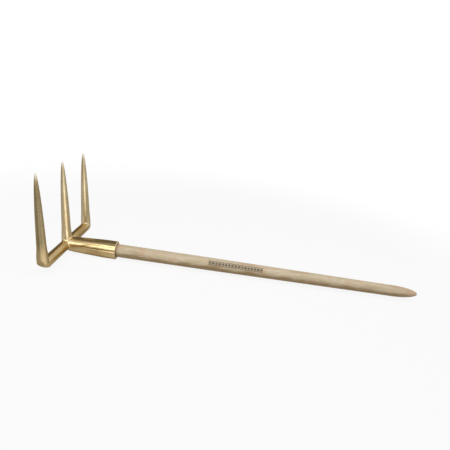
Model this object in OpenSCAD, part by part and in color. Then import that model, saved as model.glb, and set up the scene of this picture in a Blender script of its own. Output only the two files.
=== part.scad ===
// Three-tine bent fork with a long wooden handle.
// Three round bars, drawn out to points, stand square to the handle. The outer two stand on the mitred
// ends of a crossbar, the middle one in a notch of it, and the crossbar is saddled into the solid nose of a
// tapered socket. The handle is driven into the socket and held by one wood screw from below.
// Lengths are in millimetres. The handle runs along +X, the far tine is at +Y and the tines point up,
// along +Z. Everything is placed from the hub, where the crossbar's axis crosses the handle's.

/* [Tines and crossbar] */
// Diameter of the round bars before they are drawn out
bar_d = 24; // [20:1:26]
// Distance between the axes of neighbouring tines
tine_pitch = 125; // [90:5:160]
// Length of a tine, from the crossbar's axis to the point
tine_length = 200; // [150:5:260]
// Lean of the tines away from the handle, in degrees
tine_lean = 3; // [0:0.5:6]
// How long the tines stay thick: a higher value keeps them full for longer
tine_fullness = 1.7; // [1.3:0.1:2.5]
// How blunt the points are: a lower value is blunter
tine_sharpness = 0.6; // [0.5:0.05:1]
// Outside radius that the two mitred corners are dressed to
corner_r = 33; // [30:1:38]

/* [Socket] */
// Diameter of the socket's solid nose
nose_d = 32; // [31:0.5:36]
// Distance from the hub to the mouth
mouth_x = 122; // [110:1:150]
// Outside diameter at the mouth
mouth_d = 44.5; // [42:0.5:50]
// Distance from the hub to where the socket's straight cone starts, behind the rounded nose
cone_x = 30; // [24:1:40]
// Outside diameter where the cone starts
cone_d = 38.2; // [36:0.1:40]
// Distance from the hub to the parallel band at the mouth
band_x = 94; // [80:1:104]
// Length over which the cone is blended into the band, on each side of their corner
band_blend = 5; // [1:1:8]
// Bevel round the mouth
rim_bevel = 1.4; // [0.5:0.1:2.5]

/* [Handle] */
// Distance from the hub to the free end
handle_end_x = 885; // [700:5:1200]
// Diameter of the parallel stretch
handle_d = 32; // [28:0.5:34]
// Length of the parallel stretch outside the socket
parallel_length = 260; // [120:5:300]
// Diameter at the thin end, before it is rounded off
thin_d = 28.4; // [24:0.2:28.4]
// Length of the rounded-off end
round_end_length = 70; // [40:2:100]
// How bluntly the end is rounded: 2 is a plain ellipse, a higher value is blunter
round_end_fullness = 2.2; // [2:0.1:3]
// Distance from the hub to the handle's end inside the socket
tenon_x = 52; // [26:1:60]
// Diameter of the handle's end inside the socket
tenon_d = 26; // [22:0.5:27]

/* [Joints] */
// Half the thickness of the weld metal in the mitres and under the middle tine
seam_half = 1.2; // [0.8:0.1:2]
// Thickness of the weld metal between the socket's nose and the bars
saddle_weld = 2; // [1:0.1:2.5]
// How far the weld metal stands proud of the surfaces beside it
weld_crown = 0.5; // [0.2:0.1:1]
// Distance from the hub to the handle's screw
screw_x = 95; // [70:1:105]
// Length of the screw
screw_length = 24; // [18:1:30]
// Diameter of its shank
screw_d = 5; // [4:0.5:6]
// Diameter of its countersunk head
screw_head_d = 10; // [8:0.5:11]

/* [Hidden] */
$fn = 96;

bronze = "#b9914f";
weld_bronze = "#e0c48c";
ash_wood = "#cdb996";

bar_r = bar_d / 2;
nose_r = nose_d / 2;
mouth_r = mouth_d / 2;
cone_r = cone_d / 2;
handle_r = handle_d / 2;
thin_r = thin_d / 2;
tenon_r = tenon_d / 2;
screw_r = screw_d / 2;
screw_head_r = screw_head_d / 2;

hair_gap = 0.03;         // between round faces that lie on each other
fit_gap = 0.05;          // between the handle and the socket's bore
curve_steps = 32;        // bands along each tapered outline
blend_steps = 6;         // bands where the socket's cone is blended into its mouth
step_crowding = 1.8;     // how much shorter the bands get towards a point or a rounded end
seam_step = 7.5;         // degrees between the points round a weld's outline
cut = 70;                // size of the blocks that cut the seams
over = 2;                // how far a cutting block runs past what it cuts

// Sharp corners of the socket and the handle are broken by this much.
edge_break = 0.8;

// The dressed corner is part of a fat ring. It meets the corner's side points and the bars' outer sides,
// which it enters by a little.
dressing_depth = 0.15;
ring_offset = corner_r - bar_r - dressing_depth;
side_reach = ring_offset * sqrt(2);
corner_rise = corner_r - side_reach;
ring_section_r = (bar_r * bar_r + corner_rise * corner_rise) / (2 * corner_rise);

// The screw lies with its head just under the socket's skin.
screw_sink = 0.4;
screw_head_h = screw_head_r - screw_r;
slot_width = 1.4;
slot_depth = 1.3;

// The origin is under the middle of the whole tool, level with the lowest point, the socket's mouth.
front_x = min([for (p = tine_outline()) -p[0] * cos(tine_lean) - p[1] * sin(tine_lean)]);
origin_x = (handle_end_x + front_x) / 2;

// Place of a band's edge along an outline, both as shares of its length.
function crowded(share) = 1 - pow(1 - share, step_crowding);

// Radius of a tine at a height z above the crossbar's axis.
function tine_radius(z) =
    z <= 0 ? bar_r : bar_r * pow(1 - pow(z / tine_length, tine_fullness), tine_sharpness);

// Outline of a tine as [radius, height]. The bands get shorter towards the point.
function tine_outline() = concat(
    [[0, -bar_r - over], [bar_r, -bar_r - over]],
    [for (i = [0 : curve_steps])
        let (z = tine_length * crowded(i / curve_steps))
        [tine_radius(z), z]]
);

// Outside radius of the socket at a distance x from the hub: a rounded nose that runs smoothly into a
// straight cone, and a parallel band that the cone is blended into. The tool lies on the cone.
cone_slope = (mouth_r - cone_r) / (band_x - cone_x);
nose_bend = (cone_r - cone_slope * cone_x - nose_r) / (cone_x * cone_x);
function socket_radius(x) =
    x < cone_x ? cone_r - cone_slope * (cone_x - x) - nose_bend * pow(cone_x - x, 2) :
    x < band_x - band_blend ? cone_r + cone_slope * (x - cone_x) :
    x < band_x + band_blend ? mouth_r - cone_slope * pow(band_x + band_blend - x, 2) / (4 * band_blend) :
    mouth_r;

// Outline of the socket as [radius, distance from the hub].
function socket_outline() = concat(
    [[0, 0], [nose_r - edge_break, 0]],
    [for (i = [0 : curve_steps])
        let (x = edge_break + (cone_x - edge_break) * i / curve_steps)
        [socket_radius(x), x]],
    [for (i = [0 : blend_steps])
        let (x = band_x + band_blend * (2 * i / blend_steps - 1))
        [socket_radius(x), x]],
    [[mouth_r, mouth_x - rim_bevel], [mouth_r - rim_bevel, mouth_x], [0, mouth_x]]
);

// Radius of the handle where the socket's bore holds it.
function tenon_radius(x) = tenon_r + (handle_r - tenon_r) * (x - tenon_x) / (mouth_x - tenon_x);

// Radius of the rounded-off end at a share s of its length.
function round_end_radius(s) = thin_r * sqrt(1 - pow(s, round_end_fullness));

// Elliptic outline of weld metal in a seam, from one angle to another.
function seam_outline(side, crotch, outer, from, to) =
    [for (a = [from : seam_step : to]) [side * cos(a), (sin(a) > 0 ? crotch : outer) * sin(a)]];

module in_place() {
    translate([-origin_x, 0, mouth_r]) children();
}

// The crossbar and the tines lean together about the crossbar's axis.
module leaned() {
    rotate([0, -tine_lean, 0]) children();
}

// Lays what is made along +Z along +X.
module along_x() {
    rotate([0, 90, 0]) children();
}

// Moves what is made for the far corner to one of the two corners.
module at_corner(side) {
    mirror([0, side < 0 ? 1 : 0, 0]) translate([0, tine_pitch, 0]) children();
}

module crossbar_round(r) {
    rotate([90, 0, 0]) cylinder(r = r, h = 2 * (tine_pitch + bar_r + over), center = true);
}

module tine_round() {
    rotate_extrude() polygon(tine_outline());
}

module dressing_ring() {
    translate([0, -ring_offset, ring_offset]) along_x() rotate_extrude() intersection() {
        translate([corner_r - ring_section_r, 0]) circle(r = ring_section_r);
        translate([0, -bar_r - 2 * over]) square([corner_r + over, 2 * (bar_r + 2 * over)]);
    }
}

// What the dressing takes off the crossbar's end.
module corner_waste() {
    width = 2 * (bar_r + over);
    difference() {
        translate([-width / 2, -ring_offset, -width / 2]) cube([width, ring_offset + width, width]);
        dressing_ring();
    }
}

// Everything on the tine's side of a corner's mitre, from a distance past its middle plane.
module past_mitre(start) {
    rotate([-45, 0, 0]) translate([-cut / 2, -cut / 2, start]) cube(cut);
}

// The pointed foot's V, with its edge along X at a height z.
module foot_wedge(z) {
    translate([-cut / 2, 0, z]) rotate([45, 0, 0]) cube(cut);
}

module crossbar() {
    color(bronze) in_place() leaned() difference() {
        crossbar_round(bar_r);
        foot_wedge(-seam_half * sqrt(2));
        for (side = [-1, 1]) {
            at_corner(side) past_mitre(-seam_half);
            at_corner(side) corner_waste();
        }
    }
}

module outer_tine(side) {
    color(bronze) in_place() leaned() at_corner(side) difference() {
        intersection() {
            tine_round();
            union() {
                dressing_ring();
                translate([-cut / 2, -cut / 2, ring_offset]) cube([cut, cut, tine_length]);
            }
        }
        rotate([180, 0, 0]) past_mitre(-seam_half);
    }
}

module left_tine() {
    outer_tine(-1);
}

module right_tine() {
    outer_tine(1);
}

module centre_tine() {
    color(bronze) in_place() leaned() intersection() {
        tine_round();
        union() {
            foot_wedge(seam_half * sqrt(2));
            translate([-cut / 2, -cut / 2, bar_r + over]) cube([cut, cut, tine_length]);
        }
    }
}

// Weld metal that fills a mitre. It bridges the crotch and is dressed with the corner outside.
module corner_weld(side) {
    color(weld_bronze) in_place() leaned() at_corner(side) rotate([-45, 0, 0])
        linear_extrude(2 * seam_half, center = true) mirror([0, 1]) polygon(seam_outline(
            bar_r + weld_crown, bar_r * sqrt(2) + seam_half + weld_crown, corner_rise + weld_crown,
            0, 360 - seam_step
        ));
}

module left_corner_weld() {
    corner_weld(-1);
}

module right_corner_weld() {
    corner_weld(1);
}

// Weld metal on both slopes of the middle tine's foot.
module foot_weld(grow) {
    side = bar_r + weld_crown + grow;
    crotch = bar_r * sqrt(2) + seam_half + weld_crown + grow;
    base = -seam_half - grow;
    for (slope = [0, 1]) {
        mirror([0, slope, 0]) rotate([45, 0, 0]) linear_extrude(2 * (seam_half + grow), center = true)
            polygon(concat(seam_outline(side, crotch, 0, 0, 180), [[-side, base], [side, base]]));
    }
}

module centre_tine_weld() {
    color(weld_bronze) in_place() leaned() foot_weld(0);
}

// The nose's solid end, grown for the weld metal round it.
module grown_nose() {
    length = bar_r + saddle_weld + weld_crown;
    translate([-weld_crown, 0, 0]) along_x()
        cylinder(r1 = nose_r + weld_crown, r2 = socket_radius(length) + weld_crown, h = length);
}

// The room that the bars and the weld metal round them take in the nose.
module bar_grooves(r) {
    crossbar_round(r);
    leaned() cylinder(r = r, h = 2 * nose_r);
}

module socket_weld() {
    color(weld_bronze) in_place() difference() {
        intersection() {
            grown_nose();
            bar_grooves(bar_r + saddle_weld - hair_gap);
        }
        bar_grooves(bar_r + hair_gap);
        leaned() foot_weld(hair_gap);
    }
}

module handle_round(gap) {
    along_x() rotate_extrude() polygon(concat(
        [
            [0, tenon_x - gap],
            [tenon_r - edge_break + gap, tenon_x - gap],
            [tenon_radius(tenon_x + edge_break) + gap, tenon_x + edge_break],
            [handle_r + gap, mouth_x],
            [handle_r + gap, mouth_x + parallel_length]
        ],
        [for (i = [0 : curve_steps])
            let (s = crowded(i / curve_steps))
            [round_end_radius(s), handle_end_x - round_end_length * (1 - s)]]
    ));
}

module socket() {
    color(bronze) in_place() difference() {
        along_x() rotate_extrude() polygon(socket_outline());
        handle_round(fit_gap);
        bar_grooves(bar_r + saddle_weld);
        screw_round(hair_gap);
    }
}

// The screw's outline, turned about its own axis, with its head down.
module screw_round(gap) {
    head_z = -socket_radius(screw_x) + screw_sink;
    translate([screw_x, 0, head_z]) rotate_extrude() polygon([
        [0, gap > 0 ? -over : 0],
        [screw_head_r + gap, gap > 0 ? -over : 0],
        [screw_head_r + gap, 0],
        [screw_r + gap, screw_head_h],
        [screw_r + gap, screw_length - screw_d],
        [0, screw_length + gap]
    ]);
}

module handle() {
    color(ash_wood) in_place() difference() {
        handle_round(0);
        screw_round(hair_gap);
    }
}

module handle_screw() {
    color(bronze) in_place() difference() {
        screw_round(0);
        translate([screw_x, 0, -socket_radius(screw_x) + screw_sink])
            cube([screw_head_d + over, slot_width, 2 * slot_depth], center = true);
    }
}

crossbar();
left_tine();
centre_tine();
right_tine();
socket();
left_corner_weld();
right_corner_weld();
centre_tine_weld();
socket_weld();
handle();
handle_screw();
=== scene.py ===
"""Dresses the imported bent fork: polished bronze head, welds, ash handle, and a plain pale studio.

Lengths in this file are millimetres measured from the hub, where the crossbar's axis crosses the handle's,
until Layout turns them into the frame's metres. The handle runs along +X and the tines point up.
"""

import logging
import math
from dataclasses import dataclass, field
from enum import Enum
from functools import partial
from typing import Any, Callable, Sequence

import bmesh
import bpy
from mathutils import Matrix, Vector

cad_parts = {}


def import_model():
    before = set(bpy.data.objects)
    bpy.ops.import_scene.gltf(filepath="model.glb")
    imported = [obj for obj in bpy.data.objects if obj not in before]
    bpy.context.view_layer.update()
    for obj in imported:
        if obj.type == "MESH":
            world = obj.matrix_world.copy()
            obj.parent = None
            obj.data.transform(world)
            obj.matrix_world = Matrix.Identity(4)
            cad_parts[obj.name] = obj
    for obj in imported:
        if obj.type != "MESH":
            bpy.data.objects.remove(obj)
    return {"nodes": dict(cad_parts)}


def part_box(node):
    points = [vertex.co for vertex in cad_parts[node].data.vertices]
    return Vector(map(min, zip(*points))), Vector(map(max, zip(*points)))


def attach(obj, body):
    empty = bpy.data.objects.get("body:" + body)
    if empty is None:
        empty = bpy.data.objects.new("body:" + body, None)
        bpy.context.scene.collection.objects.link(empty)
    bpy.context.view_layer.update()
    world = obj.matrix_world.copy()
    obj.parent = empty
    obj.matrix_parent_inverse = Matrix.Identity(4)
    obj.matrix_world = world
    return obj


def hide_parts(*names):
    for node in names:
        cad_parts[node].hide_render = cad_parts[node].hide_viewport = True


LOG = logging.getLogger("pitchfork")
MM = 0.001
BODY = "root"
LEAN_DEG = 3.0
# What a range node is told for soft ends.
SOFT = {"interpolation_type": "SMOOTHSTEP"}
Pair = tuple[float, float]
Triple = tuple[float, float, float]
Colour = tuple[float, float, float, float]
WHITE: Colour = (1.0, 1.0, 1.0, 1.0)
Material = bpy.types.Material
Socket = bpy.types.NodeSocket
# add_node for one tree.
Adder = Callable[..., Any]
# Where a pattern's value starts and stops to tell, and what it is turned into at both.
Show = tuple[float, float, float, float]
# The size of a pattern along the wood and across it, in millimetres, and its finer detail.
Grain = tuple[float, float, float]
# The first and last place of a row, and how many there are.
Sweep = tuple[float, float, int]
# The points and faces of a closed tube.
Tube = tuple[list[Vector], list[tuple[int, ...]]]


def linear(code: str) -> Colour:
    """Turn an sRGB hex colour into linear light.

    Args:
        code: Six hex digits after a hash sign.

    Returns:
        Red, green and blue in linear light, and an alpha of 1.
    """
    parts = [int(code[i : i + 2], 16) / 255 for i in (1, 3, 5)]
    light = [p / 12.92 if p <= 0.04045 else ((p + 0.055) / 1.055) ** 2.4 for p in parts]
    return (light[0], light[1], light[2], 1.0)


def spaced(start: float, end: float, count: int) -> list[float]:
    """Evenly spaced places, with both ends."""
    return [start + (end - start) * i / (count - 1) for i in range(count)]


def add_node(
    tree: bpy.types.NodeTree,
    kind: str,
    *values: Any,
    inputs: dict[Any, Any] | None = None,
    stops: Sequence[tuple[float, str]] = (),
    **settings: Any,
) -> Any:
    """Add one node with its settings, values and links.

    Args:
        tree: The node tree it goes into.
        kind: The node's type name, and its operation after a space. A shader node's goes without ShaderNode.
        values: Values or output sockets for its first inputs, in order.
        inputs: Values or output sockets for further inputs, by their name or number.
        stops: Places and hex colours of a colour ramp.
        settings: Properties of the node.

    Returns:
        The new node's outputs.
    """
    kind, *operation = kind.split()
    node = tree.nodes.new(kind if "Node" in kind else f"ShaderNode{kind}")
    if operation:
        node.operation = operation[0]
    for name, value in settings.items():
        setattr(node, name, value)
    for key, value in (dict(enumerate(values)) | (inputs or {})).items():
        socket = node.inputs[key]
        if isinstance(value, Socket):
            tree.links.new(value, socket)
        else:
            socket.default_value = value
    for i, (place, code) in enumerate(stops):
        elements = node.color_ramp.elements
        element = elements[i] if i < 2 else elements.new(place)
        element.position = place
        element.color = linear(code)
    return node.outputs


def empty_tree(owner: bpy.types.ID) -> Adder:
    """Clear the node tree of a material or a world.

    Args:
        owner: The material or the world.

    Returns:
        add_node for its tree.
    """
    owner.use_nodes = True
    owner.node_tree.nodes.clear()
    return partial(add_node, owner.node_tree)


def cloudy(
    add: Adder, place: Socket, unit: float, size_mm: Sequence[float], detail: float, rough: float = 0.55
) -> Socket:
    """Nodes for cloudy noise whose grains have a real size.

    Args:
        add: The helper for the tree.
        place: Coordinates.
        unit: How long a millimetre is in them.
        size_mm: The grains' sizes along X, Y and Z.
        detail: How many finer layers it has.
        rough: How strong the finer layers are.

    Returns:
        The noise, mostly between 0.3 and 0.7.
    """
    scaled = add("Mapping", place, inputs={"Scale": [1 / (s * unit) for s in size_mm]})[0]
    return add("TexNoise", scaled, inputs={"Scale": 1.0, "Detail": detail, "Roughness": rough})["Fac"]


def fade(add: Adder, away: Socket, show: Show) -> Socket:
    """Nodes that turn a distance into a share, softly.

    Args:
        add: The helper for the tree.
        away: The distance in metres.
        show: Where the fade starts and stops, in millimetres, and the share at both.

    Returns:
        The share.
    """
    near, far, first, last = show
    return add("MapRange", away, near * MM, far * MM, first, last, **SOFT)[0]


def lay_colours(add: Adder, colour: Any, layers: Sequence[tuple[Socket, str]]) -> Socket:
    """Nodes that lay colours over one another, as films of oil or tarnish lie.

    Args:
        add: The helper for the tree.
        colour: The lowest colour.
        layers: The share and the hex colour of each layer, from below.

    Returns:
        The colour that shows.
    """
    for share, shade in layers:
        colour = add("Mix", share, inputs={6: colour, 7: linear(shade)}, data_type="RGBA")[2]
    return colour


def stand(name: str, data: Any) -> bpy.types.Object:
    """Put a new object into the scene.

    Args:
        name: Its name.
        data: Its mesh, camera or light.

    Returns:
        The object.
    """
    thing = bpy.data.objects.new(name, data)
    bpy.context.scene.collection.objects.link(thing)
    return thing


def dress(name: str, mesh: bpy.types.Mesh, node: str | None = None) -> None:
    """Add one finished piece to the part.

    Args:
        name: The piece's name.
        mesh: Its mesh, in the frame's metres.
        node: The CAD node that it stands for. Without one it lies on top of the solids.
    """
    piece = stand(name, mesh)
    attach(piece, BODY)
    if node:
        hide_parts(node)
    LOG.info("%s: %d faces", name, len(mesh.polygons))


class Lie(Enum):
    """The axis that a bar or turned piece runs along, as a unit vector."""

    TINE = (-math.sin(math.radians(LEAN_DEG)), 0.0, math.cos(math.radians(LEAN_DEG)))
    CROSSBAR = (0.0, 1.0, 0.0)
    SOCKET = (1.0, 0.0, 0.0)
    SCREW = (0.0, 0.0, 1.0)

    def turn(self) -> Triple:
        """Euler angles that lay this axis along a pattern's Z."""
        return tuple(Vector(self.value).rotation_difference(Vector((0, 0, 1))).to_euler())


@dataclass(frozen=True)
class Layout:
    """Where the hub is in the frame, and the real sizes that the dressing shares with the solids."""

    hub: Vector
    bar_r: float = 12.0
    tine_pitch: float = 125.0
    tine_length: float = 200.0
    corner_r: float = 33.0
    dressing_depth: float = 0.15
    nose_r: float = 16.0
    cone_x: float = 30.0
    cone_r: float = 19.1
    band_x: float = 94.0
    mouth_x: float = 122.0
    mouth_r: float = 22.25

    @classmethod
    def from_frame(cls) -> "Layout":
        """Find the hub from the socket's box: its nose starts at the hub and its mouth stands on z = 0."""
        low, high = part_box("socket")
        return cls(Vector((high.x - cls.mouth_x * MM, 0, (low.z + high.z) / 2)))

    def place(self, leaned: bool) -> Matrix:
        """The matrix from hub millimetres to the frame's metres, with the head's lean or without."""
        lean = Matrix.Rotation(math.radians(-LEAN_DEG if leaned else 0), 4, "Y")
        return Matrix.Translation(self.hub) @ Matrix.Scale(MM, 4) @ lean

    def on_tines(self, height: float) -> tuple[Vector, ...]:
        """The places in the frame at one height on the left, the middle and the right tine's axis."""
        place = self.place(True)
        return tuple(place @ Vector((0, y, height)) for y in (-self.tine_pitch, 0, self.tine_pitch))

    def socket_radius(self, x: float) -> float:
        """Work out how thick the socket's rounded nose is.

        Args:
            x: Distance from the hub.

        Returns:
            The outside radius there.
        """
        slope = (self.mouth_r - self.cone_r) / (self.band_x - self.cone_x)
        bend = (self.cone_r - slope * self.cone_x - self.nose_r) / self.cone_x**2
        back = self.cone_x - x
        return self.cone_r - slope * back - bend * back**2


@dataclass(frozen=True)
class TarnishAndPaintedReflections:
    """An olive-brown tarnish film down one side of a tine, laid in long stripes round it that are painted
    reflection bands, centred on the side that faces the camera.

    It dulls the shine as well as darkening it. The foot was handled and dressed, so it stays clean there. The
    stripes are given from one side of the tine round to the same side again.
    """

    foot: Vector
    facing_deg: float = 295.5
    film: str = "#6C6045"
    rough: float = 0.46
    foot_show: Show = (14.0, 58.0, 0.15, 1.0)
    tip_show: Show = (150.0, 205.0, 1.0, 0.6)
    sway: float = 0.09
    # Painted reflection bands: how thick the film is round the tine, thickest on the side it faces.
    stripes: tuple[tuple[float, str], ...] = (
        (0.12, "#6C6C6C"), (0.3, "#D8D8D8"), (0.37, "#F0F0F0"), (0.45, "#DCDCDC"), (0.52, "#FFFFFF"),
        (0.6, "#F4F4F4"), (0.66, "#B8B8B8"), (0.72, "#909090"), (0.8, "#B0B0B0"), (0.95, "#707070"),
    )

    def lay(self, add: Adder, place: Socket, lie: Lie, streak: Socket) -> Socket:
        """Nodes for how thick the film is, from 0 to 1, with its painted reflection stripes round the tine.

        Args:
            add: The helper for the material's tree.
            place: Object coordinates.
            lie: The tine's direction.
            streak: Long soft noise along the tine.

        Returns:
            The film's share.
        """
        from_foot = add("VectorMath SUBTRACT", place, self.foot)[0]
        upright = add("Mapping", from_foot, inputs={"Rotation": lie.turn()})[0]
        facing = (0.0, 0.0, -math.radians(self.facing_deg))
        axes = add("SeparateXYZ", add("Mapping", upright, inputs={"Rotation": facing})[0])
        turn = add("Math ARCTAN2", axes["Y"], axes["X"])[0]
        turn = add("Math MULTIPLY_ADD", turn, 1 / math.pi, 0.5 - self.sway / 2)[0]
        turn = add("Math MULTIPLY_ADD", streak, self.sway, turn)[0]
        film = add("ValToRGB", turn, stops=self.stripes)["Color"]
        for show in (self.foot_show, self.tip_show):
            film = add("Math MULTIPLY", film, fade(add, axes["Z"], show))[0]
        return film


@dataclass(frozen=True)
class Bronze:
    """Bronze, drawn or turned, belt-polished across its length and lacquered.

    The fine marks run round the piece, so reflections smear along it and stay crisp across it. The lacquer
    whitens the brightest lights. Long faint streaks, clouds of brown tarnish, specks and a few dents break
    the shine, and fine scratches cross it. The metal is paler where it was dressed by hand beside the welds,
    and bare and bright at the tips and the rim, which wear first.
    """

    name: str
    lie: Lie
    dressed: tuple[Vector, ...] = ()
    worn: tuple[Vector, ...] = ()
    rim_x: float | None = None
    tarnish: TarnishAndPaintedReflections | None = None
    clean: str = "#C5AC7D"
    tarnished: str = "#AD915F"
    streaked: str = "#D3BD92"
    pale: str = "#D6C196"
    bare: str = "#E6DEC8"
    speck: str = "#86693E"
    edge: str = "#C9B68C"
    roughness: Pair = (0.2, 0.28)
    anisotropy: float = 0.6
    coat: float = 0.3
    coat_rough: float = 0.12
    streak_mm: Pair = (5.0, 140.0)
    streak_show: Show = (0.5, 0.75, 0.0, 0.5)
    wave_mm: float = 0.009
    cloud_mm: float = 45.0
    cloud_stops: Pair = (0.36, 0.55)
    cloud_gloss: Pair = (0.3, 0.7)
    # A polishing belt's marks are about 0.05 mm wide. They are drawn this coarse so that they show.
    mark_mm: Pair = (0.4, 16.0)
    mark_depth_mm: float = 0.0012
    mark_rough: float = 0.1
    dent_mm: float = 24.0
    dent_depth_mm: float = 0.02
    dent_show: Show = (0.05, 0.16, 0.0, 1.0)
    speck_mm: float = 1.3
    speck_show: Show = (0.67, 0.74, 0.0, 0.4)
    # A real scratch is a tenth as wide. These too are drawn coarse enough to show.
    scratch_mm: Pair = (0.22, 15.0)
    scratch_turn: Triple = (0.5, 1.1, 0.3)
    scratch_show: Show = (0.67, 0.72, 0.0, 0.3)
    dressed_show: Show = (14.0, 34.0, 0.75, 0.0)
    dressed_rough: float = 0.08
    worn_show: Show = (4.0, 20.0, 0.75, 0.0)
    rim_show: Show = (0.9, 2.8, 0.4, 0.0)

    def build(self) -> Material:
        """Make the material.

        Returns:
            The material.
        """
        material = bpy.data.materials.new(self.name)
        add = empty_tree(material)
        place = add("TexCoord")["Object"]
        turned = add("Mapping", place, inputs={"Rotation": self.lie.turn()})[0]
        crossed = add("Mapping", place, inputs={"Rotation": self.scratch_turn})[0]
        streak = cloudy(add, turned, MM, (self.streak_mm[0], *self.streak_mm), 3.0)
        marks = cloudy(add, turned, MM, (self.mark_mm[1], *self.mark_mm[::-1]), 2.0)
        cloud = cloudy(add, place, MM, (self.cloud_mm,) * 3, 5.0)
        specks = cloudy(add, place, MM, (self.speck_mm,) * 3, 2.0)
        scratches = cloudy(add, crossed, MM, (*self.scratch_mm, self.scratch_mm[1]), 1.0)
        layers = [(add("MapRange", streak, *self.streak_show)[0], self.streaked)]
        rough = add("MapRange", cloud, *self.cloud_gloss, self.roughness[1], self.roughness[0])[0]
        for middle in self.dressed:
            near = fade(add, add("VectorMath DISTANCE", place, middle)[1], self.dressed_show)
            layers.append((near, self.pale))
            rough = add("Math MULTIPLY_ADD", near, self.dressed_rough, rough)[0]
        # The tarnish film carries painted reflection stripes round the tine.
        if self.tarnish:
            film = self.tarnish.lay(add, place, self.lie, streak)
            layers.append((film, self.tarnish.film))
            rough = add("Mix", film, inputs={2: rough, 3: self.tarnish.rough}, data_type="FLOAT")[0]
        for tip in self.worn:
            near = fade(add, add("VectorMath DISTANCE", place, tip)[1], self.worn_show)
            layers.append((near, self.bare))
        if self.rim_x is not None:
            off = add("Math SUBTRACT", add("SeparateXYZ", place)["X"], self.rim_x)[0]
            off = add("Math ABSOLUTE", off)[0]
            layers.append((fade(add, off, self.rim_show), self.bare))
        layers.append((add("MapRange", specks, *self.speck_show)[0], self.speck))
        layers.append((add("MapRange", scratches, *self.scratch_show)[0], self.bare))
        body = add("ValToRGB", cloud, stops=tuple(zip(self.cloud_stops, (self.tarnished, self.clean))))[0]
        colour = lay_colours(add, body, layers)
        rough = add("Math MULTIPLY_ADD", marks, self.mark_rough, rough)[0]
        rough = add("Math SUBTRACT", rough, self.mark_rough / 2)[0]
        cells = {"Scale": 1 / (self.dent_mm * MM), "Randomness": 1.0}
        dents = add("TexVoronoi", place, inputs=cells, feature="SMOOTH_F1")["Distance"]
        pits = add("MapRange", dents, *self.dent_show, **SOFT)[0]
        under = {}
        depths = (self.wave_mm, self.mark_depth_mm, self.dent_depth_mm)
        for height, depth in zip((streak, marks, pits), depths):
            relief = {"Strength": 1.0, "Distance": depth * MM, "Height": height}
            under = {"Normal": add("Bump", inputs=relief | under)["Normal"]}
        shader = add("BsdfPrincipled", inputs=under | {
            "Base Color": colour, "Metallic": 1.0, "Roughness": rough, "Specular Tint": linear(self.edge),
            "Anisotropic": self.anisotropy, "Tangent": add("CombineXYZ", *self.lie.value)[0],
            "Coat Weight": self.coat, "Coat Roughness": self.coat_rough,
        })
        add("OutputMaterial", shader["BSDF"])
        return material


@dataclass(frozen=True)
class BurntMark:
    """A plain border burnt into the handle: a row of dots between two lines, in hub millimetres."""

    start: float = 348.0
    pitch: float = 8.0
    dots: int = 17
    dot_r: float = 2.9
    line_gap: float = 4.9
    line_half: float = 0.7
    soft: float = 0.35
    scorch: float = 0.35
    halo: float = 2.4
    round_deg: float = 36.5
    handle_r: float = 15.8

    def cover(self, add: Adder, along: Socket, y: Socket, z: Socket) -> Socket:
        """Nodes for how burnt the wood is, from 0 to 1.

        Args:
            add: The helper for the material's tree.
            along: Distance from the hub along the handle, in millimetres.
            y: Distance from the handle's axis towards +Y, in millimetres.
            z: Height above the handle's axis, in millimetres.

        Returns:
            The burn's share.
        """
        def within(distance: Socket, limit: float, soft: float = self.soft) -> Socket:
            """1 inside a limit and 0 outside it, with a soft edge."""
            return add("MapRange", distance, limit + soft, limit - soft, **SOFT)[0]

        left = add("Math MULTIPLY", y, -1.0)[0]
        turn = add("Math ARCTAN2", z, left)[0]
        turn = add("Math SUBTRACT", turn, math.radians(self.round_deg))[0]
        across = add("Math MULTIPLY", turn, self.handle_r)[0]
        off_middle = add("Math ABSOLUTE", across)[0]
        from_start = add("Math SUBTRACT", along, self.start)[0]
        from_dot = add("Math FLOORED_MODULO", from_start, self.pitch)[0]
        from_dot = add("Math SUBTRACT", from_dot, self.pitch / 2)[0]
        span = add("VectorMath LENGTH", add("CombineXYZ", from_dot, across)[0])["Value"]
        off_line = add("Math SUBTRACT", off_middle, self.line_gap)[0]
        off_line = add("Math ABSOLUTE", off_line)[0]
        half = self.pitch * self.dots / 2
        lengthwise = add("Math SUBTRACT", from_start, half)[0]
        lengthwise = add("Math ABSOLUTE", lengthwise)[0]
        burnt = add("Math MAXIMUM", within(span, self.dot_r), within(off_line, self.line_half))[0]
        burnt = add("Math MULTIPLY", burnt, within(lengthwise, half))[0]
        scorched = within(off_middle, self.line_gap, self.halo)
        for share in (within(lengthwise, half, self.halo), self.scorch):
            scorched = add("Math MULTIPLY", scorched, share)[0]
        return add("Math MAXIMUM", burnt, scorched)[0]


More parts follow.
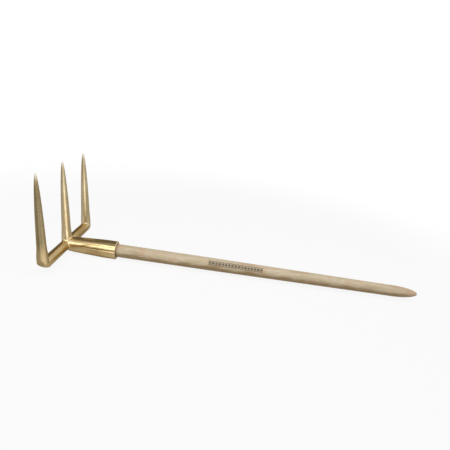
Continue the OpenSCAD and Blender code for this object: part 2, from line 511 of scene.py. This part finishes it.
@dataclass(frozen=True)
class OiledAsh:
    """Ash, turned and sanded, then oiled: pale, with growth rings and open pores along it.

    The rings are cut lengthwise, so they show as long soft bands. Big mottles come from uneven oil, the
    underside is painted darker and browner as painted shade, and the rounded end is pinker. The oil leaves a
    low gloss.
    """

    hub: Vector
    mark: BurntMark = BurntMark()
    name: str = "oiled_ash"
    early_wood: str = "#DDCDB1"
    late_wood: str = "#C4AE8C"
    oily: str = "#B99F7C"
    olive: str = "#BFB484"
    pink: str = "#CFA988"
    # Painted shade: the colour that darkens the handle's underside.
    painted_underside_shade: str = "#9E7F53"
    end_grain: str = "#D2AD8A"
    # A darker band on the wood by the socket's mouth: metal staining, and painted shade where the socket
    # meets the handle.
    mouth_stain_and_shade: str = "#7C6642"
    pore: str = "#8A6E48"
    burnt: str = "#43331F"
    coat: float = 0.12
    coat_rough: float = 0.3
    ring_mm: float = 3.2
    ring_starts: Pair = (0.0, 0.35)
    ring_ends: Pair = (0.8, 1.0)
    ring_share: float = 0.45
    pith_mm: Pair = (38.0, -30.0)
    sway: Grain = (160.0, 60.0, 2.0)
    sway_mm: float = 14.0
    wobble: Grain = (45.0, 2.5, 3.0)
    wobble_mm: float = 1.6
    # A single fibre is 0.02 mm wide. These are bundles of fibres, which are coarse enough to show.
    fibre: Grain = (60.0, 0.7, 4.0)
    fibre_contrast: float = 0.65
    fibre_show: Show = (0.35, 0.7, 0.0, 0.55)
    fibre_gloss: Show = (0.3, 0.7, 0.38, 0.55)
    mottle: Grain = (70.0, 16.0, 3.0)
    mottle_show: Show = (0.5, 0.7, 0.0, 0.75)
    patch: Grain = (34.0, 11.0, 2.0)
    olive_show: Show = (0.55, 0.68, 0.0, 0.65)
    pink_show: Show = (0.45, 0.32, 0.0, 0.65)
    # Painted shade under the handle: the noise on its edge, how far that wanders, and where it shows, in
    # millimetres above the axis.
    shade: Grain = (48.0, 14.0, 3.0)
    shade_mm: float = 20.0
    shade_show: Show = (13.5, 6.0, 0.0, 0.85)
    end_show: Show = (825.0, 868.0, 0.0, 0.55)
    ragged: Grain = (3.0, 2.2, 2.0)
    ragged_mm: float = 6.0
    mouth_stain_and_shade_show: Show = (130.0, 122.5, 0.0, 0.5)
    pores: Grain = (9.0, 0.35, 1.0)
    pore_show: Show = (0.62, 0.7, 0.0, 1.0)
    pore_share: float = 0.6
    burn: Grain = (5.0, 3.0, 2.0)
    burn_show: Show = (0.25, 0.6, 0.6, 0.95)
    burn_rough: float = 0.25
    heights_mm: Triple = (-0.12, -0.3, 0.06)

    def build(self) -> Material:
        """Make the material.

        Returns:
            The material.
        """
        material = bpy.data.materials.new(self.name)
        add = empty_tree(material)
        corner = add("TexCoord")["Object"]
        place = add("Mapping", corner, [-c / MM for c in self.hub], inputs={"Scale": (1 / MM,) * 3})[0]
        axes = add("SeparateXYZ", place)

        def noise(grain: Grain, contrast: float = 0.55) -> Socket:
            """Cloudy noise of one grain."""
            return cloudy(add, place, 1.0, (grain[0], grain[1], grain[1]), grain[2], contrast)

        sway = add("Math MULTIPLY_ADD", noise(self.sway), self.sway_mm, -self.sway_mm / 2)[0]
        off_y = add("Math ADD", sway, self.pith_mm[0])[0]
        off_y = add("Math ADD", axes["Y"], off_y)[0]
        off_z = add("Math ADD", axes["Z"], self.pith_mm[1])[0]
        radius = add("VectorMath LENGTH", add("CombineXYZ", off_y, off_z)[0])["Value"]
        year = add("Math MULTIPLY_ADD", noise(self.wobble), self.wobble_mm, radius)[0]
        year = add("Math DIVIDE", year, self.ring_mm)[0]
        year = add("Math FRACT", year)[0]
        starts = add("MapRange", year, *self.ring_starts, **SOFT)[0]
        ends = add("MapRange", year, *self.ring_ends, **SOFT)[0]
        ring = add("Math SUBTRACT", starts, ends)[0]
        fibres = noise(self.fibre, self.fibre_contrast)
        fibrous = add("MapRange", fibres, *self.fibre_show, **SOFT)[0]
        layers = [(add("Math MULTIPLY_ADD", ring, self.ring_share, fibrous)[0], self.late_wood)]
        patches = noise(self.patch)
        # Painted shade: darker and browner below the handle's axis, with a soft, noisy edge.
        height = add("Math MULTIPLY_ADD", noise(self.shade), self.shade_mm, axes["Z"])[0]
        # Metal staining and painted shade on the wood just past the socket's mouth, with a ragged edge.
        edge = add("Math ADD", axes["X"], self.ragged_mm / 2)[0]
        edge = add("Math MULTIPLY_ADD", noise(self.ragged), -self.ragged_mm, edge)[0]
        for pattern, show, tone in (
            (noise(self.mottle), self.mottle_show, self.oily),
            (patches, self.olive_show, self.olive),
            (patches, self.pink_show, self.pink),
            (height, self.shade_show, self.painted_underside_shade),
            (axes["X"], self.end_show, self.end_grain),
            (edge, self.mouth_stain_and_shade_show, self.mouth_stain_and_shade),
        ):
            layers.append((add("MapRange", pattern, *show, **SOFT)[0], tone))
        early = add("Math SUBTRACT", 1.0, ring)[0]
        holes = add("MapRange", noise(self.pores), *self.pore_show, **SOFT)[0]
        holes = add("Math MULTIPLY", holes, early)[0]
        layers.append((add("Math MULTIPLY", holes, self.pore_share)[0], self.pore))
        burnt = self.mark.cover(add, axes["X"], axes["Y"], axes["Z"])
        uneven = add("MapRange", noise(self.burn), *self.burn_show, **SOFT)[0]
        uneven = add("Math MULTIPLY", burnt, uneven)[0]
        layers.append((uneven, self.burnt))
        rough = add("MapRange", fibres, *self.fibre_gloss, **SOFT)[0]
        rough = add("Math MULTIPLY_ADD", uneven, self.burn_rough, rough)[0]
        relief = 0.0
        for pattern, height_mm in zip((holes, burnt, fibres), self.heights_mm):
            relief = add("Math MULTIPLY_ADD", pattern, height_mm, relief)[0]
        normal = add("Bump", inputs={"Strength": 1.0, "Distance": MM, "Height": relief})["Normal"]
        shader = add("BsdfPrincipled", inputs={
            "Base Color": lay_colours(add, linear(self.early_wood), layers), "Roughness": rough,
            "Normal": normal, "Coat Weight": self.coat, "Coat Roughness": self.coat_rough,
        })
        add("OutputMaterial", shader["BSDF"])
        return material


@dataclass(frozen=True)
class DrawnTines:
    """The three tines as the smith drew them out: a little slimmer than the bar from just above the foot.

    Each is a copy of its solid, drawn in round its axis. The feet, the length and the points stay in place.
    They were drawn by hand, so they aren't quite alike. The solid's true normals are tilted with the surface,
    so that reflections run along it without a ripple.
    """

    layout: Layout
    slimness: tuple[tuple[str, float], ...] = (("left", 0.865), ("centre", 0.89), ("right", 0.92))
    fullness: float = 1.5
    sharpness: float = 0.5
    solid_fullness: float = 1.7
    solid_sharpness: float = 0.6
    neck_mm: Pair = (16.0, 46.0)
    ring_mm: float = 2.5
    merge_mm: float = 0.001
    slope_mm: float = 0.5

    def share(self, z: float, slimness: float) -> float:
        """How much of the solid's radius is left at a height above the crossbar's axis.

        Args:
            z: The height, in millimetres.
            slimness: The tine's thickness above the foot as a share of the bar's.

        Returns:
            1 in the foot, and less above it.
        """
        along = min(max(z / self.layout.tine_length, 0.0), 1.0)
        solid = (1 - along**self.solid_fullness) ** self.solid_sharpness
        if solid == 0:
            return 1.0
        drawn = slimness * (1 - along**self.fullness) ** self.sharpness
        rise = min(max((z - self.neck_mm[0]) / (self.neck_mm[1] - self.neck_mm[0]), 0.0), 1.0)
        return 1 + (drawn / solid - 1) * rise**2 * (3 - 2 * rise)

    def build(self, nodes: dict[str, bpy.types.Object]) -> None:
        """Draw in every tine. Each keeps the finish of the solid that it stands for."""
        for i, (side, slimness) in enumerate(self.slimness):
            self.tine(nodes[f"{side}_tine"], (i - 1) * self.layout.tine_pitch, slimness)

    def tine(self, node: bpy.types.Object, y: float, slimness: float) -> None:
        """Draw in one tine.

        Args:
            node: The solid that it stands for.
            y: Where its axis stands along the crossbar, in millimetres.
            slimness: Its thickness above the foot as a share of the bar's.
        """
        place = self.layout.place(True) @ Matrix.Translation((0, y, 0))
        measured = place.inverted()
        turn = place.to_quaternion()
        shape = bmesh.new()
        shape.from_mesh(node.data)
        facing = shape.loops.layers.float_vector.new("facing")
        for face in shape.faces:
            for corner in face.loops:
                corner[facing] = turn.inverted() @ node.data.corner_normals[corner.index].vector
        bmesh.ops.remove_doubles(shape, verts=shape.verts, dist=self.merge_mm * MM)
        for i in range(round((self.neck_mm[1] - self.neck_mm[0]) / self.ring_mm) + 1):
            bmesh.ops.bisect_plane(
                shape, geom=[*shape.verts, *shape.edges, *shape.faces], dist=self.merge_mm * MM,
                plane_co=place @ Vector((0, 0, self.neck_mm[0] + i * self.ring_mm)),
                plane_no=turn @ Vector((0, 0, 1)),
            )
        for face in shape.faces:
            face.smooth = True
            for corner in face.loops:
                point = measured @ corner.vert.co
                out = corner[facing]
                above = self.share(point.z + self.slope_mm, slimness)
                slope = (above - self.share(point.z - self.slope_mm, slimness)) / (2 * self.slope_mm)
                tilt = self.share(point.z, slimness) * out.z - slope * (point.x * out.x + point.y * out.y)
                corner[facing] = turn @ Vector((out.x, out.y, tilt)).normalized()
        for corner in shape.verts:
            point = measured @ corner.co
            share = self.share(point.z, slimness)
            corner.co = place @ Vector((point.x * share, point.y * share, point.z))
        name = node.name.replace("_tine", "_drawn_tine")
        mesh = bpy.data.meshes.new(name)
        shape.to_mesh(mesh)
        shape.free()
        normals = mesh.attributes["facing"]
        mesh.normals_split_custom_set([v.vector for v in normals.data])
        mesh.attributes.remove(normals)
        mesh.materials.append(node.data.materials[0])
        dress(name, mesh, node.name)


@dataclass(frozen=True)
class Bead:
    """One section across a dressed weld, in hub millimetres.

    It touches a bar at first and the other side at second. The surface between them is drawn towards corner,
    and root is a point inside the metal that closes the section.
    """

    first: Vector
    corner: Vector
    second: Vector
    root: Vector

    def outline(self, steps: int, sink: float) -> list[Vector]:
        """Draw the closed section.

        Args:
            steps: How many straight parts its surface has.
            sink: How far both its ends are let into the metal, as a share of the way to the root.

        Returns:
            Its points, from first to second and back by the root.
        """
        first, second = (end.lerp(self.root, sink) for end in (self.first, self.second))
        surface = [
            first * (1 - u) ** 2 + self.corner * (2 * u * (1 - u)) + second * u**2
            for u in spaced(0.0, 1.0, steps + 1)
        ]
        return surface + [self.root]

    def crest(self) -> tuple[Vector, Vector]:
        """The middle of the surface, and the direction that it faces."""
        middle = self.first * 0.25 + self.corner * 0.5 + self.second * 0.25
        return middle, (middle - self.root).normalized()


@dataclass
class Welds:
    """The welds of the head, dressed to small fillets, and the ripples that the dressing left on them.

    Each sweep runs along one seam: round the middle tine's foot in degrees from its side, over the socket's
    nose and down its sides in degrees from the middle, and under the nose in millimetres.
    """

    layout: Layout
    fillet_r: float = 2.4
    half_width: float = 1.9
    crown: float = 0.5
    depth: float = 2.2
    sink: float = 0.03
    steps: int = 8
    corner_sections: int = 96
    foot_sweep: Sweep = (58.0, 188.0, 53)
    over_sweep: Sweep = (-76.0, 76.0, 49)
    over_share: float = 0.985
    side_sweep: Sweep = (78.0, -90.0, 53)
    under_sweep: Sweep = (-12.0, 12.0, 25)
    nose_rounds: int = 4
    ripple_pitch: float = 1.15
    ripple_size: Triple = (0.8, 1.15, 0.16)
    ripple_unevenness: float = 0.2
    ripple_seed: int = 7
    ripple_segments: int = 10
    ripple_rings: int = 6
    chains: list[list[tuple[Vector, Vector]]] = field(default_factory=list)

    def mitre_bead(self, turn: float) -> Bead:
        """Section in the crotch between a crossbar that runs to -Y and a tine that stands on its end.

        Args:
            turn: Angle round the seam, in radians: 0 and pi at the bars' sides, pi / 2 in the crotch.

        Returns:
            The section, which is flush with the bars at their sides.
        """
        r = self.layout.bar_r
        s = math.sin(turn)
        reach = self.fillet_r * s + self.half_width / math.sqrt(2) * (1 - s)
        low = s - self.half_width / (math.sqrt(2) * r) * (1 - s) ** 2
        side = math.copysign(math.sqrt(1 - low**2), math.cos(turn))
        facing = Vector((2 * math.cos(turn), -s, s)).normalized()
        seam = Vector((r * math.cos(turn), -r * s, r * s))
        return Bead(
            Vector((r * side, -r * s - reach, r * low)),
            seam + facing * self.crown * (1 - s),
            Vector((r * side, -r * low, r * s + reach)),
            seam - facing * self.depth,
        )

    def dressed_bead(self, turn: float) -> Bead:
        """Section on the outer side of a corner, where the weld is dressed round with the bars.

        Args:
            turn: Angle round the seam, in radians, from pi to 2 pi.

        Returns:
            The section.
        """
        size = self.layout
        offset = size.corner_r - size.bar_r - size.dressing_depth
        rise = size.corner_r - offset * math.sqrt(2)
        section_r = (size.bar_r**2 + rise**2) / (2 * rise)
        x = size.bar_r * math.cos(turn)
        drop = math.sqrt(section_r**2 - x**2)
        radius = size.corner_r - section_r + drop
        spread = self.half_width / radius

        def on_ring(angle: float, out: float = 0.0) -> Vector:
            """Find a point on the round corner.

            Args:
                angle: Its angle round the corner.
                out: How far it is lifted off.

            Returns:
                The point.
            """
            reach = radius + out * drop / section_r
            y, z = -offset + reach * math.cos(angle), offset - reach * math.sin(angle)
            return Vector((x * (1 + out / section_r), y, z))

        middle = math.pi / 4
        return Bead(
            on_ring(middle + spread), on_ring(middle, self.crown), on_ring(middle - spread),
            on_ring(middle, -self.depth),
        )

    def ball_bead(self, centre: Vector, from_bar: Vector, from_nose: Vector) -> Bead:
        """Section of the fillet that a ball leaves as it rolls along a bar and the socket's nose.

        Args:
            centre: The ball's middle.
            from_bar: The way to it from the bar's axis.
            from_nose: The way to it from the nose's axis, or square to the nose's flat front.

        Returns:
            The section.
        """
        first, second = -from_bar.normalized(), -from_nose.normalized()
        both = first + second
        corner = centre + both * (self.fillet_r / (1 + first.dot(second)))
        root = corner + both.normalized() * self.depth
        return Bead(centre + first * self.fillet_r, corner, centre + second * self.fillet_r, root)

    def tine_and_nose(self, y: float) -> Bead:
        """Section between the middle tine and the socket's nose.

        Args:
            y: Where the ball's middle is across the head. It settles on both surfaces in a few rounds.

        Returns:
            The section.
        """
        lean_x, _, lean_z = Lie.TINE.value
        away = math.sqrt((self.layout.bar_r + self.fillet_r) ** 2 - y**2)
        x = away
        for _ in range(self.nose_rounds):
            z = math.sqrt((self.layout.socket_radius(x) + self.fillet_r) ** 2 - y**2)
            x = (away + z * lean_x) / lean_z
        centre = Vector((x, y, z))
        axis = Vector(Lie.TINE.value)
        return self.ball_bead(centre, centre - axis * centre.dot(axis), Vector((0, y, z)))

    def crossbar_and_nose(self, side: float, z: float) -> Bead:
        """Section between the crossbar and the socket's nose.

        Args:
            side: 1 for the far side, -1 for the near one.
            z: Height of the ball's middle.

        Returns:
            The section.
        """
        x = math.sqrt((self.layout.bar_r + self.fillet_r) ** 2 - z**2)
        y = side * math.sqrt((self.layout.socket_radius(x) + self.fillet_r) ** 2 - z**2)
        return self.ball_bead(Vector((x, y, z)), Vector((x, 0, z)), Vector((0, y, z)))

    def under_nose(self, y: float) -> Bead:
        """Section under the crossbar, against the flat front of the socket's nose.

        Args:
            y: Where the ball's middle is across the head.

        Returns:
            The section.
        """
        x = -self.fillet_r
        z = -math.sqrt((self.layout.bar_r + self.fillet_r) ** 2 - x**2)
        return self.ball_bead(Vector((x, y, z)), Vector((x, 0, z)), Vector((-1, 0, 0)))

    def run(self, beads: Sequence[Bead], place: Matrix, closed: bool = False) -> Tube:
        """Turn sections into one closed tube, and note its crest for the ripples.

        Args:
            beads: The sections in order along the seam.
            place: The matrix from the beads' millimetres to the frame.
            closed: Whether the last section joins the first.

        Returns:
            The tube's points and faces.
        """
        points, faces = [], []
        count = self.steps + 2
        for bead in beads:
            points += [place @ p for p in bead.outline(self.steps, self.sink)]
        spans = len(beads) if closed else len(beads) - 1
        for i in range(spans):
            here = i * count
            there = (i + 1) % len(beads) * count
            for j in range(count):
                k = (j + 1) % count
                faces.append((here + j, here + k, there + k, there + j))
        if not closed:
            faces.append(tuple(range(count)))
            faces.append(tuple(range(len(points) - count, len(points))))
        turn = place.to_3x3()
        crests = [bead.crest() for bead in beads] + ([beads[0].crest()] if closed else [])
        self.chains.append([(place @ p, (turn @ out).normalized()) for p, out in crests])
        return points, faces

    def piece(
        self, name: str, runs: Sequence[Tube], finish: Material, node: str | None = None
    ) -> None:
        """Join tubes into one dressed weld.

        Args:
            name: The piece's name.
            runs: Its tubes.
            finish: Its material.
            node: The CAD weld that it stands for. Without one it lies on top of the solids.
        """
        shape = bmesh.new()
        for points, faces in runs:
            corners = [shape.verts.new(p) for p in points]
            for face in faces:
                shape.faces.new([corners[i] for i in face])
        bmesh.ops.recalc_face_normals(shape, faces=shape.faces)
        for face in shape.faces:
            face.smooth = True
        mesh = bpy.data.meshes.new(name)
        shape.to_mesh(mesh)
        shape.free()
        mesh.materials.append(finish)
        dress(name, mesh, node)

    def build(self, finish: Material) -> None:
        """Make every weld and its ripples.

        Args:
            finish: Their material.
        """
        leaned = self.layout.place(True)
        straight = self.layout.place(False)
        mirror = Matrix.Scale(-1, 4, (0, 1, 0))
        across = Matrix.Translation((0, self.layout.tine_pitch, 0))
        ring = [2 * math.pi * i / self.corner_sections for i in range(self.corner_sections)]
        loop = [self.mitre_bead(t) if t <= math.pi else self.dressed_bead(t) for t in ring]
        corners = {"right_corner": leaned @ across, "left_corner": leaned @ mirror @ across}
        for name, place in corners.items():
            self.piece(f"{name}_dressed_weld", [self.run(loop, place, True)], finish, f"{name}_weld")
        foot = [self.mitre_bead(math.radians(turn)) for turn in spaced(*self.foot_sweep)]
        sides = [self.run(foot, leaned), self.run(foot, leaned @ mirror)]
        self.piece("centre_tine_dressed_weld", sides, finish)
        reach = self.layout.bar_r + self.fillet_r
        top = self.over_share * reach
        seams = [[self.tine_and_nose(top * math.sin(math.radians(a))) for a in spaced(*self.over_sweep)]]
        for side in (-1, 1):
            heights = [reach * math.sin(math.radians(a)) for a in spaced(*self.side_sweep)]
            seams.append([self.crossbar_and_nose(side, z) for z in heights])
        seams.append([self.under_nose(y) for y in spaced(*self.under_sweep)])
        self.piece("socket_dressed_weld", [self.run(beads, straight) for beads in seams], finish)
        self.ripple(finish)

    def ripple_tree(self) -> tuple[bpy.types.NodeTree, dict[str, str]]:
        """Build the nodes that lay scales along a line.

        Returns:
            The tree, and the identifiers of its inputs by their names.
        """
        tree = bpy.data.node_groups.new("weld_ripples", "GeometryNodeTree")
        named = {
            "Crests": "Geometry", "Pitch": "Float", "Size": "Vector", "Unevenness": "Float", "Seed": "Int",
            "Finish": "Material",
        }
        sockets = {
            name: tree.interface.new_socket(name, in_out="INPUT", socket_type=f"NodeSocket{kind}").identifier
            for name, kind in named.items()
        }
        tree.interface.new_socket("Ripples", in_out="OUTPUT", socket_type="NodeSocketGeometry")
        add = partial(add_node, tree)
        given = add("NodeGroupInput")
        line = add("GeometryNodeMeshToCurve", given["Crests"])[0]
        evened = add("GeometryNodeResampleCurve", line, inputs={"Length": given["Pitch"]}, mode="LENGTH")[0]
        up = add("GeometryNodeInputNamedAttribute", "facing", data_type="FLOAT_VECTOR")[0]
        along = add("GeometryNodeInputTangent")[0]
        turn = add("FunctionNodeAxesToRotation", up, along, primary_axis="Z", secondary_axis="X")[0]
        low = add("Math SUBTRACT", 1.0, given["Unevenness"])[0]
        high = add("Math ADD", 1.0, given["Unevenness"])[0]
        limits = {2: low, 3: high, "Seed": given["Seed"]}
        grow = add("FunctionNodeRandomValue", inputs=limits, data_type="FLOAT")[1]
        size = add("VectorMath SCALE", given["Size"], inputs={"Scale": grow})[0]
        scale = add("GeometryNodeMeshUVSphere", self.ripple_segments, self.ripple_rings, 1.0)["Mesh"]
        laying = {"Instance": scale, "Rotation": turn, "Scale": size}
        laid = add("GeometryNodeInstanceOnPoints", evened, inputs=laying)[0]
        smooth = add("GeometryNodeSetShadeSmooth", add("GeometryNodeRealizeInstances", laid)[0])[0]
        worn = add("GeometryNodeSetMaterial", smooth, inputs={"Material": given["Finish"]})[0]
        add("NodeGroupOutput", worn)
        return tree, sockets

    def ripple(self, finish: Material) -> None:
        """Lay low overlapping scales along every seam, by a node tree that follows the noted crests.

        Args:
            finish: Their material.
        """
        path = bpy.data.meshes.new("weld_crests")
        edges, start = [], 0
        for chain in self.chains:
            edges += [(i, i + 1) for i in range(start, start + len(chain) - 1)]
            start += len(chain)
        path.from_pydata([point for chain in self.chains for point, _ in chain], edges, [])
        facing = path.attributes.new("facing", "FLOAT_VECTOR", "POINT")
        facing.data.foreach_set("vector", [c for chain in self.chains for _, out in chain for c in out])
        tree, sockets = self.ripple_tree()
        crests = stand("weld_crests", path)
        follow = crests.modifiers.new("ripples", "NODES")
        follow.node_group = tree
        follow[sockets["Pitch"]] = self.ripple_pitch * MM
        follow[sockets["Size"]] = [v * MM for v in self.ripple_size]
        follow[sockets["Unevenness"]] = self.ripple_unevenness
        follow[sockets["Seed"]] = self.ripple_seed
        follow[sockets["Finish"]] = finish
        evaluated = crests.evaluated_get(bpy.context.evaluated_depsgraph_get())
        mesh = bpy.data.meshes.new_from_object(evaluated)
        mesh.name = "weld_ripples"
        bpy.data.objects.remove(crests)
        dress("weld_ripples", mesh)


@dataclass(frozen=True)
class StudioPaper:
    """Seamless white studio paper. What looks straight at it sees nearly plain white with the tool's shadow.

    Near the tool it keeps a share of its own shading, and from near to far, in metres, it turns plain white.
    """

    name: str = "studio_paper"
    shade: str = "#DADADA"
    camera_share: float = 0.9
    glossy_share: float = 0.35
    near: float = 0.6
    far: float = 1.3

    def build(self) -> Material:
        """Make the material.

        Returns:
            The material.
        """
        material = bpy.data.materials.new(self.name)
        add = empty_tree(material)
        path = add("LightPath")
        away = add("VectorMath LENGTH", add("TexCoord")["Object"])["Value"]
        whitened = (self.near, self.far, self.camera_share, 1.0)
        seen = add("MapRange", away, *whitened, **SOFT)[0]
        share = add("Math MAXIMUM", path["Is Glossy Ray"], path["Is Transmission Ray"])[0]
        share = add("Math MULTIPLY", share, self.glossy_share)[0]
        share = add("Math MULTIPLY_ADD", path["Is Camera Ray"], seen, share)[0]
        paper = add("BsdfDiffuse", linear(self.shade))[0]
        plain = add("Emission", WHITE, 1.0)[0]
        add("OutputMaterial", add("MixShader", share, paper, plain)[0])
        return material


@dataclass(frozen=True)
class Softbox:
    """One rectangular softbox, in metres. It faces the head, or else the frame's origin.

    Its place is measured from the point it faces. Radiance says how bright its face is, where white paper in
    plain light is 1.
    """

    name: str
    at_head: bool
    place: Triple
    size: Pair
    radiance: float


@dataclass(frozen=True)
class Card:
    """A curved card that hangs round the head and only shows in reflections.

    Azimuths say where it starts and ends, in degrees from +X towards +Y, and rows give its lowest and highest
    edge, in degrees above the level. Distance is in metres. A strength of 1 shows the colour as written.
    """

    name: str
    shade: str
    azimuths: Pair
    rows: Pair
    distance: float = 0.0
    strength: float = 1.0

    def point(self, head: Vector, azimuth: float, row: float) -> Vector:
        """One place on the card.

        Args:
            head: The point it hangs round, in the frame.
            azimuth: The direction from the head.
            row: The height on the card.

        Returns:
            The place in the frame.
        """
        a, e = math.radians(azimuth), math.radians(row)
        out = Vector((math.cos(e) * math.cos(a), math.cos(e) * math.sin(a), math.sin(e)))
        return head + self.distance * out


class FloorCard(Card):
    """A card that lies a millimetre above the paper. Its rows are distances from the head, in metres."""

    def point(self, head: Vector, azimuth: float, row: float) -> Vector:
        """One place on the card, as for a hanging one."""
        a = math.radians(azimuth)
        return Vector((head.x + row * math.cos(a), head.y + row * math.sin(a), MM))


@dataclass(frozen=True)
class Studio:
    """The camera, the paper, the lamps and the cards that shape the reflections."""

    layout: Layout
    camera_mm: Triple = (353.1, -860.4, 413.5)
    heading: float = 2.815
    pitch: float = -21.399
    roll: float = 9.555
    lens: float = 30.586
    sensor: float = 36.0
    shift: Pair = (-0.015, 0.03)
    clip_start: float = 0.01
    paper_radius: float = 6.0
    paper_sides: int = 128
    fill: float = 0.25
    card_steps: int = 12
    softboxes: tuple[Softbox, ...] = (
        Softbox("key", True, (-0.5, -0.95, 0.72), (1.1, 0.45), 2.0),
        Softbox("top", False, (0.1, -0.45, 1.7), (2.4, 1.0), 3.0),
    )
    cards: tuple[Card, ...] = (
        Card("ceiling_card", "#BDBAB2", (0, 360), (62, 90), 1.5),
        Card("rear_card", "#87827A", (88, 172), (3, 74), 1.4),
        Card("front_card", "#3E392E", (190, 262), (-3, 10), 1.4),
        FloorCard("left_floor_card", "#D6D3CC", (196, 252), (0.17, 1.4)),
        FloorCard("shoulder_card", "#F4F2EC", (252, 274), (0.2, 1.6), strength=1.05),
        FloorCard("rear_floor_card", "#C9C6BE", (-20, 176), (0.19, 1.4)),
        FloorCard("strip_card", "#FFFDF8", (274, 325), (0.14, 1.6), strength=2.1),
    )

    def build(self) -> None:
        """Set up the whole studio."""
        self.stand_camera()
        self.lay_paper()
        self.light_room()
        for box in self.softboxes:
            self.hang_softbox(box)
        for card in self.cards:
            self.put_card(card)

    def stand_camera(self) -> None:
        """Put the camera where the photograph was taken from."""
        data = bpy.data.cameras.new("camera")
        data.sensor_width = self.sensor
        data.lens = self.lens
        data.shift_x, data.shift_y = self.shift
        data.clip_start = self.clip_start
        turn = (
            Matrix.Rotation(math.radians(-self.heading), 4, "Z")
            @ Matrix.Rotation(math.radians(90 + self.pitch), 4, "X")
            @ Matrix.Rotation(math.radians(self.roll), 4, "Z")
        )
        place = self.layout.place(False) @ Vector(self.camera_mm)
        camera = stand("camera", data)
        camera.matrix_world = Matrix.Translation(place) @ turn
        bpy.context.scene.camera = camera

    def lay_paper(self) -> None:
        """Lay a round sheet of paper under the object."""
        mesh = bpy.data.meshes.new("paper")
        sheet = bmesh.new()
        bmesh.ops.create_circle(sheet, cap_ends=True, segments=self.paper_sides, radius=self.paper_radius)
        sheet.to_mesh(mesh)
        sheet.free()
        mesh.materials.append(StudioPaper().build())
        stand("paper", mesh)

    def light_room(self) -> None:
        """A pale room all round: white to whoever looks at it, and a soft fill on the object."""
        world = bpy.data.worlds.new("room")
        bpy.context.scene.world = world
        add = empty_tree(world)
        path = add("LightPath")
        seen = path["Is Camera Ray"]
        for ray in ("Is Glossy Ray", "Is Transmission Ray"):
            seen = add("Math MAXIMUM", seen, path[ray])[0]
        strength = add("MapRange", seen, 0.0, 1.0, self.fill, 1.0)[0]
        add("OutputWorld", add("Background", WHITE, strength)[0])

    def hang_softbox(self, box: Softbox) -> None:
        """Hang one softbox.

        Args:
            box: Its place, size and brightness.
        """
        data = bpy.data.lights.new(box.name, "AREA")
        data.shape = "RECTANGLE"
        data.size, data.size_y = box.size
        data.energy = box.radiance * math.pi * box.size[0] * box.size[1]
        aim = self.layout.hub if box.at_head else Vector()
        place = aim + Vector(box.place)
        turn = (aim - place).to_track_quat("-Z", "Y").to_matrix().to_4x4()
        lamp = stand(box.name, data)
        lamp.visible_camera = False
        lamp.matrix_world = Matrix.Translation(place) @ turn

    def put_card(self, card: Card) -> None:
        """Put up one card.

        Args:
            card: Its place, size and colour.
        """
        row = self.card_steps + 1
        points = [
            card.point(self.layout.hub, azimuth, height)
            for height in spaced(*card.rows, row) for azimuth in spaced(*card.azimuths, row)
        ]
        faces = [
            (i * row + j, i * row + j + 1, (i + 1) * row + j + 1, (i + 1) * row + j)
            for i in range(self.card_steps) for j in range(self.card_steps)
        ]
        mesh = bpy.data.meshes.new(card.name)
        mesh.from_pydata(points, [], faces)
        material = bpy.data.materials.new(card.name)
        add = empty_tree(material)
        add("OutputMaterial", add("Emission", linear(card.shade), card.strength)[0])
        mesh.materials.append(material)
        sheet = stand(card.name, mesh)
        sheet.visible_camera = False
        sheet.visible_diffuse = False
        sheet.visible_shadow = False


def main() -> None:
    """Dress the part piece by piece."""
    logging.basicConfig(level=logging.INFO, format="%(message)s")
    bpy.context.scene.view_settings.view_transform = "Standard"
    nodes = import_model()["nodes"]
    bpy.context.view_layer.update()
    layout = Layout.from_frame()
    joins = layout.on_tines(0.0)
    tips = layout.on_tines(layout.tine_length)
    bronzes = {
        "bar": Bronze(
            "bronze_tine", Lie.TINE, joins, tips, clean="#CBBB98", tarnished="#BEA881", streaked="#D8CBAC",
            wave_mm=0.004, dent_depth_mm=0.008,
        ),
        "cross": Bronze(
            "bronze_crossbar", Lie.CROSSBAR, joins, clean="#B9A175", tarnished="#A08557", pale="#C9B58C",
        ),
        "socket": Bronze(
            "bronze_socket", Lie.SOCKET, joins[1:2], rim_x=layout.hub.x + layout.mouth_x * MM,
            roughness=(0.13, 0.19), mark_depth_mm=0.003,
        ),
        # Paler weld metal, and partly painted highlight: it stands for the bright lines along the creases
        # between the bars.
        "weld": Bronze(
            "bronze_weld", Lie.CROSSBAR, clean="#E2D0A6", tarnished="#CBB387", anisotropy=0.0,
            roughness=(0.26, 0.36),
        ),
        # The left tine's tarnish film is laid in painted reflection stripes round it.
        "left": Bronze(
            "bronze_left_tine", Lie.TINE, joins, tips, tarnish=TarnishAndPaintedReflections(joins[0]), clean="#BBA67C",
            tarnished="#AA9266", streaked="#C6B48C", pale="#AA966E", roughness=(0.32, 0.4),
        ),
        "screw": Bronze(
            "bronze_screw", Lie.SCREW, clean="#B2976A", tarnished="#8E744C", streaked="#C0A87C",
            roughness=(0.26, 0.4), anisotropy=0.0, cloud_mm=4.0,
        ),
    }
    finishes = {name: finish.build() for name, finish in bronzes.items()}
    finishes["ash"] = OiledAsh(layout.hub).build()
    wear = {
        "crossbar": "cross", "left_tine": "left", "centre_tine": "bar", "right_tine": "bar",
        "socket": "socket", "left_corner_weld": "weld", "right_corner_weld": "weld",
        "centre_tine_weld": "weld", "socket_weld": "weld", "handle": "ash", "handle_screw": "screw",
    }
    for name, finish in wear.items():
        data = nodes[name].data
        data.materials.clear()
        data.materials.append(finishes[finish])
        LOG.info("%s wears %s", name, finish)
    DrawnTines(layout).build(nodes)
    Welds(layout).build(finishes["weld"])
    Studio(layout).build()


if __name__ == "__main__":
    main()
